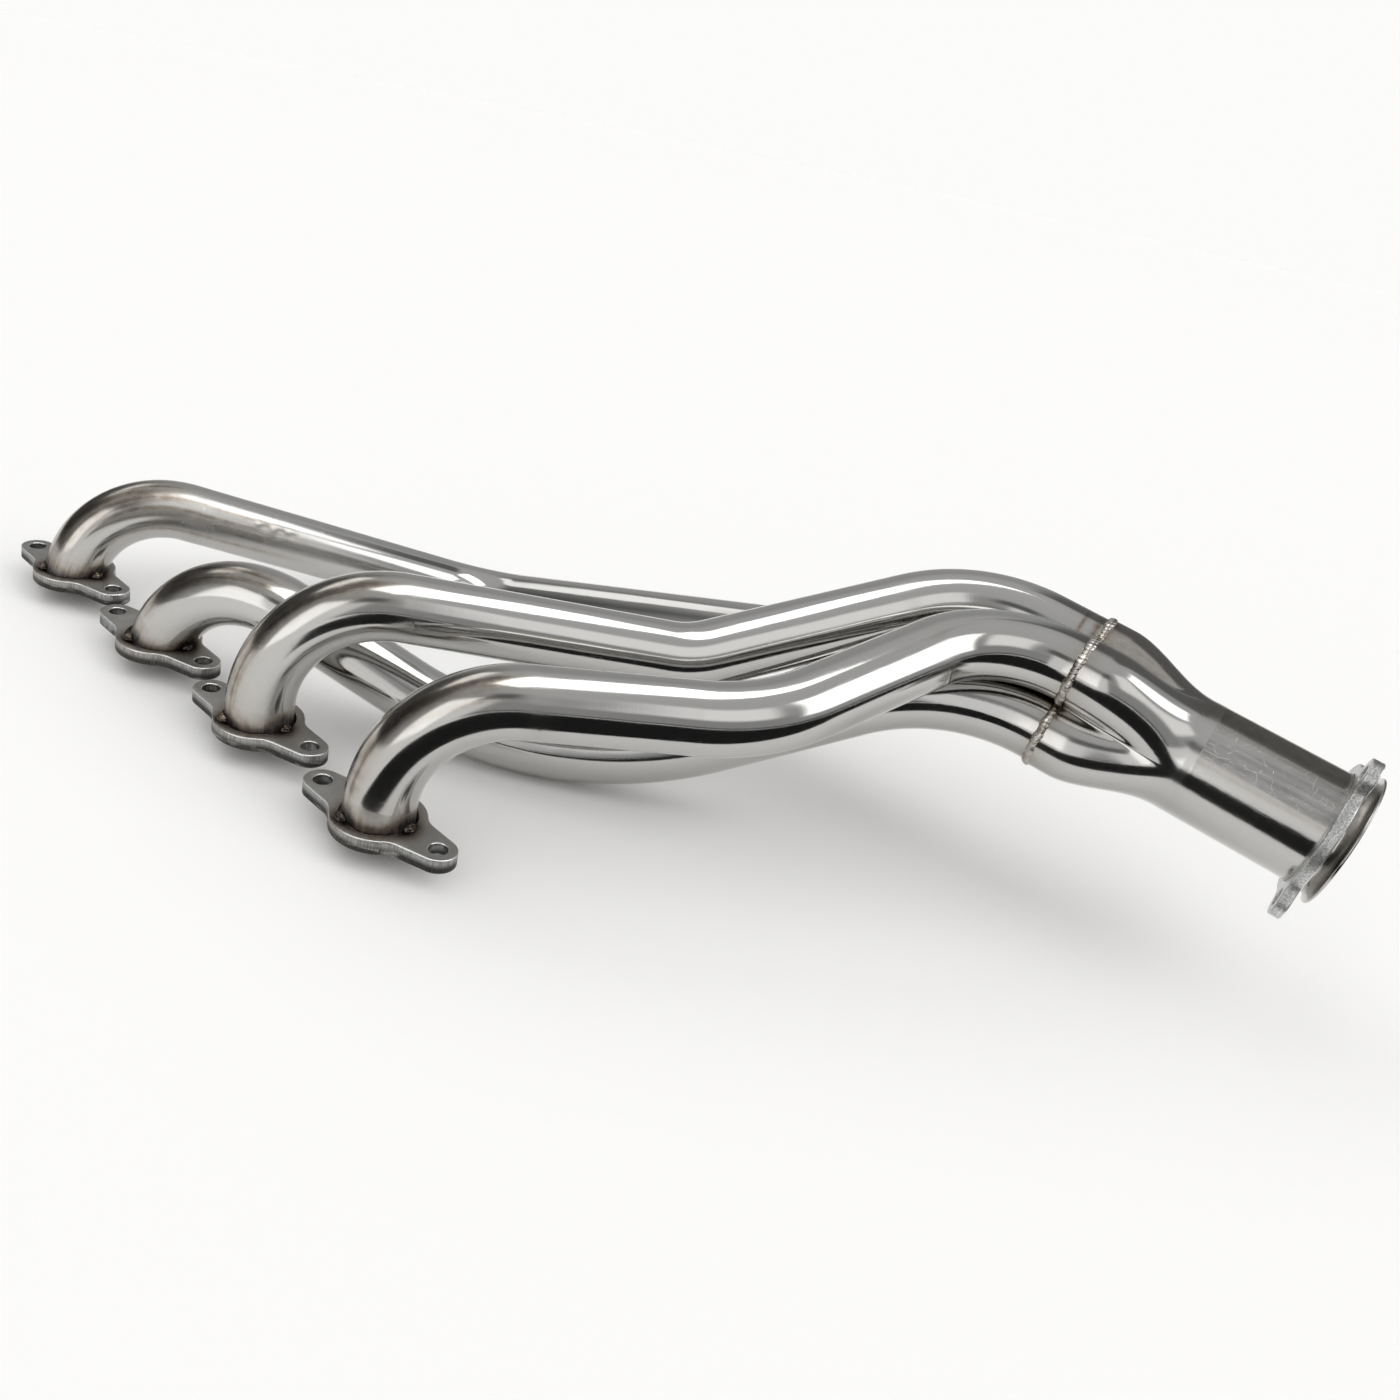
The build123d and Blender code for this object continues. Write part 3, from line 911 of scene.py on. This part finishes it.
def build_mouth_bead(number, primary):
    side, level = primary["lobe"]
    facing = atan2(level, side)
    spins = facing + np.radians(np.linspace(-121, 121, 240))
    hub = np.array((side * LOBE_OFFSET, level * LOBE_OFFSET, -0.4))
    centres = in_collector(hub + level_ring(spins) * (TUBE_R + 0.5))
    ways = in_collector(level_ring(spins + pi / 2)) - MOUTH
    outward = in_collector(level_ring(spins)) - MOUTH - AXIS * 0.35
    outward /= np.linalg.norm(outward, axis=1)[:, None]
    rows = bead_rows(centres, ways, outward, 2.7, 1.45, number)
    faces = [face[::-1] for face in grid_faces(len(rows), 22)]
    faces.append(tuple(reversed(range(22))))
    faces.append(tuple((len(rows) - 1) * 22 + j for j in range(22)))
    tint_level = np.full(rows.shape[:2], 0.04)
    ends = np.abs(np.linspace(-1, 1, len(rows)))[:, None]
    tint_level = tint_level + 0.5 * smooth(0.72, 1.0, ends)
    name = f"mouth_bead_{number}"
    piece = make_piece(f"{name}_ripples", rows, faces, bead_metal, 70.0, {"stain_and_shade": tint_level})
    dress(piece, "header", "mouth_bead", name)


def build_seal_weld(number, path):
    """Ring of weld inside the port, between the tube's end and the plate."""
    spins = full_turn(260)
    base = path.at(path.find_height(TUBE_RECESS + 1.0))[0]
    centres = np.array((base[0], base[1], 2.3)) + level_ring(spins) * (TUBE_R + 0.15)
    ways = level_ring(spins + pi / 2)
    outward = np.tile((0.0, 0.0, -1.0), (len(spins), 1))
    rows = bead_rows(centres, ways, outward, 1.25, 0.95, 20 + number, closed=True)
    faces = [face[::-1] for face in grid_faces(len(rows), 22, wrap_rows=True)]
    name = f"port_seal_weld_{number}"
    layers = {"stain_and_shade": np.full(rows.shape[:2], 0.2)}
    piece = make_piece(f"{name}_ring", rows, faces, bead_metal, 70.0, layers)
    dress(piece, "header", "seal_weld", name)


# ---- collector
def lobe_outline(station, spin, lobe_r):
    """Distance from the axis: four lobes whose crests sink and whose valleys rise to the neck."""
    part = float(smooth(SHELL_STRAIGHT, SHELL_LENGTH - 3, station))
    wall = SHELL_R - lobe_r
    neck = NECK_R - wall
    reach = LOBE_OFFSET * sqrt(2)
    turn = np.abs((spin % (pi / 2)) - pi / 4)
    to_valley = np.sqrt((pi / 4 - turn) ** 2 + VALLEY_SOFTNESS ** 2) - VALLEY_SOFTNESS
    turn = pi / 4 - to_valley
    across = reach * np.sin(turn)
    round_lobe = reach * np.cos(turn) + np.sqrt(np.maximum(lobe_r ** 2 - across ** 2, 1.0))
    deepest = reach * cos(pi / 4) + sqrt(max(lobe_r ** 2 - LOBE_OFFSET ** 2, 1.0))
    crest = reach + lobe_r
    rise = (round_lobe - deepest) / (crest - deepest)
    blend = min(station / VALLEY_END, 1.0)
    rise = rise * (1 - blend) + np.cos(2 * turn) * blend
    sunk = crest * (1 - part) + neck * part
    start = VALLEY_R - wall
    raised = start * (1 - blend) + neck * blend
    return raised + (sunk - raised) * np.maximum(rise, 0)


def crowded_spins(count):
    """Angles round the collector, closer together at the valleys between lobes."""
    even = full_turn(count)
    return even - 0.19 * np.sin(4 * even)


def build_shell():
    spins = crowded_spins(288)
    stations = np.linspace(0, SHELL_LENGTH, 96)
    rows, straight, tint_level, scuff = [], [], [], []
    order = list(stations)
    for lobe_r, sequence in ((SHELL_R, order), (SHELL_R - TUBE_WALL, order[::-1])):
        for station in sequence:
            radius = lobe_outline(station, spins, lobe_r)
            local = around(radius, spins, station)
            rows.append(in_collector(local))
            straight.append(local + np.array((200.0, 0.0, 0.0)))
            valley = np.clip(1 - np.abs(np.sin(2 * spins)) * 2.5, 0, 1)
            weld = 0.45 * bell(station, 5.0) + 0.25 * bell(station, 14.0)
            # Painted shade: a darker tint along the top valley near the mouth and over the upper side
            # towards the neck, standing in for dark reflections; it is added to the weld tint.
            top_valley = bell(turn_gap(spins, radians(84)), 0.36)
            shade = 0.26 * top_valley * (1 - float(smooth(30, 68, station)))
            facing = np.degrees(spins) % 360
            shade = shade + 0.29 * upper_shade(facing) * float(smooth(44, 70, station))
            tint_level.append(weld * (0.35 + 0.65 * valley) + shade)
            scuff.append(np.full(len(spins), 0.25 * float(smooth(60, 71, station))))
    rows = np.array(rows)
    layers = {"straight": np.array(straight), "stain_and_shade": np.array(tint_level), "scuff": np.array(scuff)}
    faces = grid_faces(len(rows), len(spins), wrap_rows=True)
    piece = make_piece("collector_shell_skin", rows, faces, shell_steel, 60.0, layers)
    dress(piece, "header", "collector_shell", "collector_shell")


def turned_piece(name, profile, material, masks, columns=192):
    """Solid of revolution about the collector axis; profile runs (radius, station), closed."""
    spins = full_turn(columns)
    rows, straight = [], []
    for radius, station in profile:
        local = around(radius, spins, station)
        rows.append(in_collector(local))
        straight.append(local)
    straight = np.array(straight)
    tint_level, scuff = masks(straight)
    layers = {"straight": straight, "stain_and_shade": tint_level, "scuff": scuff}
    faces = grid_faces(len(rows), columns, wrap_rows=True)
    return make_piece(name, np.array(rows), faces, material, 45.0, layers)


def upper_shade(facing):
    """Where the collector's upper side gets painted shade: a darker grey tint standing in for the dark
    reflection on that side.
    """
    return smooth(20, 40, facing) * (1 - smooth(104, 126, facing))


def neck_masks(local):
    """Handling wear lies on the upper side that faces the ports' outer edge, its darker tint partly painted
    shade; a grey tint over the upper side is painted shade.
    """
    station = local[..., 2]
    facing = np.degrees(np.arctan2(local[..., 1], local[..., 0])) % 360
    # Worn band: rougher and scratched, and the darker clouds and lines it brings in the neck's material are
    # partly painted shade, standing in for the dark reflection there.
    worn_and_shaded = smooth(112, 122, facing) * (1 - smooth(150, 157, facing))
    worn_and_shaded = worn_and_shaded * (0.75 + 0.25 * smooth(80, 130, station))
    # Painted shade: a grey tint over the upper side and a thin dark line along the worn band's edge,
    # standing in for the dark reflection there.
    painted_shade = 0.29 * upper_shade(facing)
    painted_shade = painted_shade + 0.20 * bell(facing - 157.5, 3.2)
    return painted_shade + 0.04 * bell(station - 72, 3.0), 0.10 + 0.90 * worn_and_shaded


def lip_masks(local):
    station = local[..., 2]
    return 0.25 * bell(station - 146, 3.0), np.full_like(station, 0.22)


def build_neck():
    inner = NECK_R - TUBE_WALL
    seam = [(NECK_R + 0.015 * sin(pi * k / 8), 71 + 2.0 * k / 8) for k in range(9)]
    seam += [(inner, 73.0), (inner, 71.0)]
    piece = turned_piece("neck_seam_ridge", seam, neck_steel, neck_masks)
    dress(piece, "header", "neck_seam", "neck_seam")
    start = LIP_STATION - FLARE_LENGTH
    runs = np.linspace(NECK_START, start, 36)
    wall = [(NECK_R, s) for s in runs] + [(inner, s) for s in runs[::-1]]
    piece = turned_piece("outlet_neck_tube", wall, neck_steel, neck_masks)
    dress(piece, "header", "outlet_neck", "outlet_neck")
    turn = 2 * atan((LIP_R - NECK_R) / FLARE_LENGTH)
    outer_r = FLARE_LENGTH / sin(turn)
    inner_r = outer_r + TUBE_WALL

    def flare(radius, t):
        return (NECK_R + outer_r - radius * cos(t), start + radius * sin(t))

    turns = np.linspace(0, turn, 16)
    profile = [flare(outer_r, t) for t in turns]
    rim_r = TUBE_WALL / 2
    middle = flare(outer_r + rim_r, turn)
    for t in np.linspace(0, pi, 9)[1:-1]:
        swing = turn - t
        profile.append((
            middle[0] + rim_r * cos(swing),
            middle[1] - rim_r * sin(swing),
        ))
    profile += [flare(inner_r, t) for t in turns[::-1]]
    piece = turned_piece("outlet_lip_flare", profile, lip_steel, lip_masks)
    dress(piece, "header", "outlet_lip", "outlet_lip")


def build_spike():
    """Four-sided point between the tube ends, with hollow-ground faces and a soft ridge."""
    spins = full_turn(96)
    rows, straight = [], []
    for station in np.linspace(0, SPIKE_LENGTH, 40):
        half = SPIKE_HALF * (1 - station / SPIKE_LENGTH) + 0.5
        corner = np.abs(np.cos(spins)) ** 1.25 + np.abs(np.sin(spins)) ** 1.25
        radius = half * 0.9996 * sqrt(2) / corner ** 0.8
        local = around(radius, spins, station)
        rows.append(in_collector(local))
        straight.append(local)
    rows = np.array(rows)
    tint_level = np.full(rows.shape[:2], 0.35)
    layers = {"straight": np.array(straight), "stain_and_shade": tint_level, "scuff": tint_level * 1.5}
    faces = grid_faces(len(rows), 96)
    faces.append(tuple(reversed(range(96))))
    faces.append(tuple((len(rows) - 1) * 96 + j for j in range(96)))
    piece = make_piece("merge_spike_point", rows, faces, shell_steel, 40.0, layers)
    dress(piece, "header", "merge_spike", "merge_spike")


def build_loose_flange():
    outline = eared_outline(
        RING_BODY_R, RING_BOLT_R, RING_EAR_R, RING_EAR_R * 1.7, RING_FILLET, (0, 120, 240)
    )
    bore = round_loop((0, 0), NECK_R + RING_CLEARANCE, 200)
    holes = [round_loop(RING_BOLT_R * polar(radians(120 * k)), BOLT_HOLE_R, 56) for k in range(3)]
    points, faces, flat, rim = plate_mesh([outline, bore, *holes], RING_THICK, 0.6, 0.6, 9)
    turn = radians(RING_TURN)
    local = np.column_stack([
        points[:, 0] * cos(turn) - points[:, 1] * sin(turn),
        points[:, 0] * sin(turn) + points[:, 1] * cos(turn),
        points[:, 2] + RING_STATION,
    ])
    layers = {"face": flat, "rim": rim, "stain_and_shade": np.zeros(len(points))}
    piece = make_piece("collector_flange_plate", in_collector(local), faces, ring_steel, 50.0, layers)
    dress(piece, "loose_flange", "outlet_flange", "collector_flange")


for number, primary in enumerate(PRIMARIES, start=1):
    path = TubePath((number - 1) * PORT_PITCH, primary)
    build_primary(number, path)
    build_port_flange(number, path)
    build_tacks(number, path)
    build_seal_weld(number, path)
    build_mouth_bead(number, primary)
build_shell()
build_neck()
build_spike()
build_loose_flange()

# ---- camera
camera_data = bpy.data.cameras.new("camera")
camera_data.sensor_width = 36.0
camera_data.lens = 32.414
camera_data.shift_x = 0.05712
camera_data.shift_y = -0.03449
camera_data.clip_start = 0.01
camera_data.clip_end = 50.0
camera = place_object("camera", camera_data)
right_way = Vector((0.7098144, 0.6807231, 0.1810512))
down_way = Vector((0.4142641, -0.1955478, -0.8889017))
look_way = Vector((-0.5696917, 0.7059583, -0.4208018))
turned = Matrix((right_way, -down_way, -look_way)).transposed().to_4x4()
camera.matrix_world = Matrix.Translation(Vector((0.755364, -0.354606, 0.374437))) @ turned
bpy.context.scene.camera = camera

# ---- studio
toward_camera = Vector((-look_way.x, -look_way.y, 0.0)).normalized()
CARD_CORNERS = ((0.27, 0.20), (0.5, 0.14), (3.0, 0.05), (3.0, 4.0), (0.55, 4.0))
BASE_LIGHT = ((0.0, 0.60), (0.36, 0.60), (0.40, 0.30), (0.50, 0.42), (0.72, 0.42), (0.80, 0.56), (1.0, 0.60))
# Azimuth range, elevation range (degrees, azimuth 0 toward -Y), soft edge, brightness
STUDIO_PANELS = (
    ((-112, -30), (-40, 40), 26, 0.12),
    ((-90, -45), (-30, 24), 20, 0.07),
    ((152, 205), (4, 66), 9, 0.15),
    ((-200, -165), (4, 60), 8, 0.15),
    ((14, 130), (-32, 3), 5, 0.05),
    ((22, 92), (5, 24), 5, 0.36),
    ((46, 80), (24, 56), 8, 1.15),
    ((91, 127), (15, 57), 4, 2.5),
    ((-14, 13), (-3, 38), 6, 1.7),
    ((13, 27), (-1, 32), 3, 0.95),
    ((14, 34), (34, 47), 8, 0.14),
    ((-107, -70), (36, 50), 5, 1.5),
)


def soft_band(tree, value, low, high, edge):
    """1 between low and high, falling smoothly to 0 over the edge width."""
    sides = []
    for near, far in ((low - edge / 2, low + edge / 2), (high + edge / 2, high - edge / 2)):
        inputs = {"Value": value, "From Min": near, "From Max": far}
        side = add(tree, "ShaderNodeMapRange", inputs, interpolation_type="SMOOTHSTEP")
        sides.append(side.outputs[0])
    return mul(tree, *sides)


def build_world():
    """Soft boxes and dark studio walls, placed by direction round the object."""
    world = bpy.data.worlds.new("studio")
    world.use_nodes = True
    tree = world.node_tree
    tree.nodes.clear()
    way = add(tree, "ShaderNodeTexCoord").outputs["Generated"]
    parts = add(tree, "ShaderNodeSeparateXYZ", {0: way})
    east, north, high = parts.outputs
    azimuth = maths(tree, "ARCTAN2", east, mul(tree, north, -1.0))
    azimuth = mul(tree, azimuth, 180 / pi)
    elevation = mul(tree, maths(tree, "ARCSINE", high), 180 / pi)
    level = plus(tree, maths(tree, "DIVIDE", elevation, 180.0), 0.5)
    light = ramp(tree, level, BASE_LIGHT)
    for sideways, upright, edge, brightness in STUDIO_PANELS:
        mask = soft_band(tree, azimuth, *sideways, edge)
        mask = mul(tree, mask, soft_band(tree, elevation, *upright, edge))
        light = blend_colour(tree, mask, light, (brightness,) * 3)
    background = add(tree, "ShaderNodeBackground", {"Color": light, "Strength": 1.0})
    output = add(tree, "ShaderNodeOutputWorld")
    tree.links.new(background.outputs[0], output.inputs["Surface"])
    bpy.context.scene.world = world


def stage_sheet(name, corners, faces, material):
    mesh = bpy.data.meshes.new(name)
    mesh.from_pydata(corners, [], faces)
    mesh.materials.append(material)
    sheet = place_object(name, mesh)
    return sheet


def hide_from(thing, *rays):
    for ray in rays:
        setattr(thing, f"visible_{ray}", False)


def plain_material(name, colour, roughness):
    material = bpy.data.materials.new(name)
    material.use_nodes = True
    shader = material.node_tree.nodes["Principled BSDF"]
    shader.inputs["Base Color"].default_value = (*colour, 1.0)
    shader.inputs["Roughness"].default_value = roughness
    shader.inputs["Specular IOR Level"].default_value = 0.0
    return material


def area_light(name, centre, width, depth, radiance):
    """Rectangular lamp facing down, mirrored by the metal; brightness is given as its radiance."""
    data = bpy.data.lights.new(name, "AREA")
    data.shape = "RECTANGLE"
    data.size = width
    data.size_y = depth
    data.energy = radiance * pi * width * depth
    lamp = place_object(name, data)
    lamp.location = centre
    lamp.visible_diffuse = False


def round_backdrop(name, centre, radius, low, high, material):
    """Pale wall all round the stage, seen only by the camera."""
    ring = round_loop(centre, radius, 64)
    points = [(x, y, z) for z in (low, high) for x, y in ring]
    wall = stage_sheet(name, points, grid_faces(2, len(ring)), material)
    hide_from(wall, "diffuse", "glossy", "shadow", "transmission")


build_world()
area_light("softbox", (0.305, 0.075, 0.95), 0.36, 0.76, 2.6)
fill_data = bpy.data.lights.new("sky_fill", "SUN")
fill_data.angle = 2.2
fill_data.energy = 1.35
fill = place_object("sky_fill", fill_data)
fill.visible_glossy = False
floor_z = -0.0126
stage_sheet(
    "floor",
    [(-8, -8, floor_z), (8, -8, floor_z), (8, 8, floor_z), (-8, 8, floor_z)],
    [(0, 1, 2, 3)],
    plain_material("floor_paper", (0.90, 0.895, 0.885), 0.9),
)
wall_white = plain_material("wall_white", (0.0, 0.0, 0.0), 1.0)
wall_shader = wall_white.node_tree.nodes["Principled BSDF"]
wall_shader.inputs["Emission Color"].default_value = (0.974, 0.972, 0.956, 1.0)
wall_shader.inputs["Emission Strength"].default_value = 1.0
round_backdrop("backdrop", (0.33, 0.18), 7.5, floor_z - 0.01, 6.0, wall_white)
across = Vector((-toward_camera.y, toward_camera.x, 0.0))
card_corners = []
for ahead, sideways in CARD_CORNERS:
    spot = toward_camera * ahead + across * sideways
    card_corners.append((spot.x, spot.y, floor_z + 0.002))
black_flag = plain_material("black_flag", (0.015, 0.015, 0.015), 1.0)
card = stage_sheet("dark_card", card_corners, [tuple(range(len(card_corners)))], black_flag)
hide_from(card, "camera", "diffuse", "shadow", "transmission")
bpy.context.scene.view_settings.view_transform = "Standard"
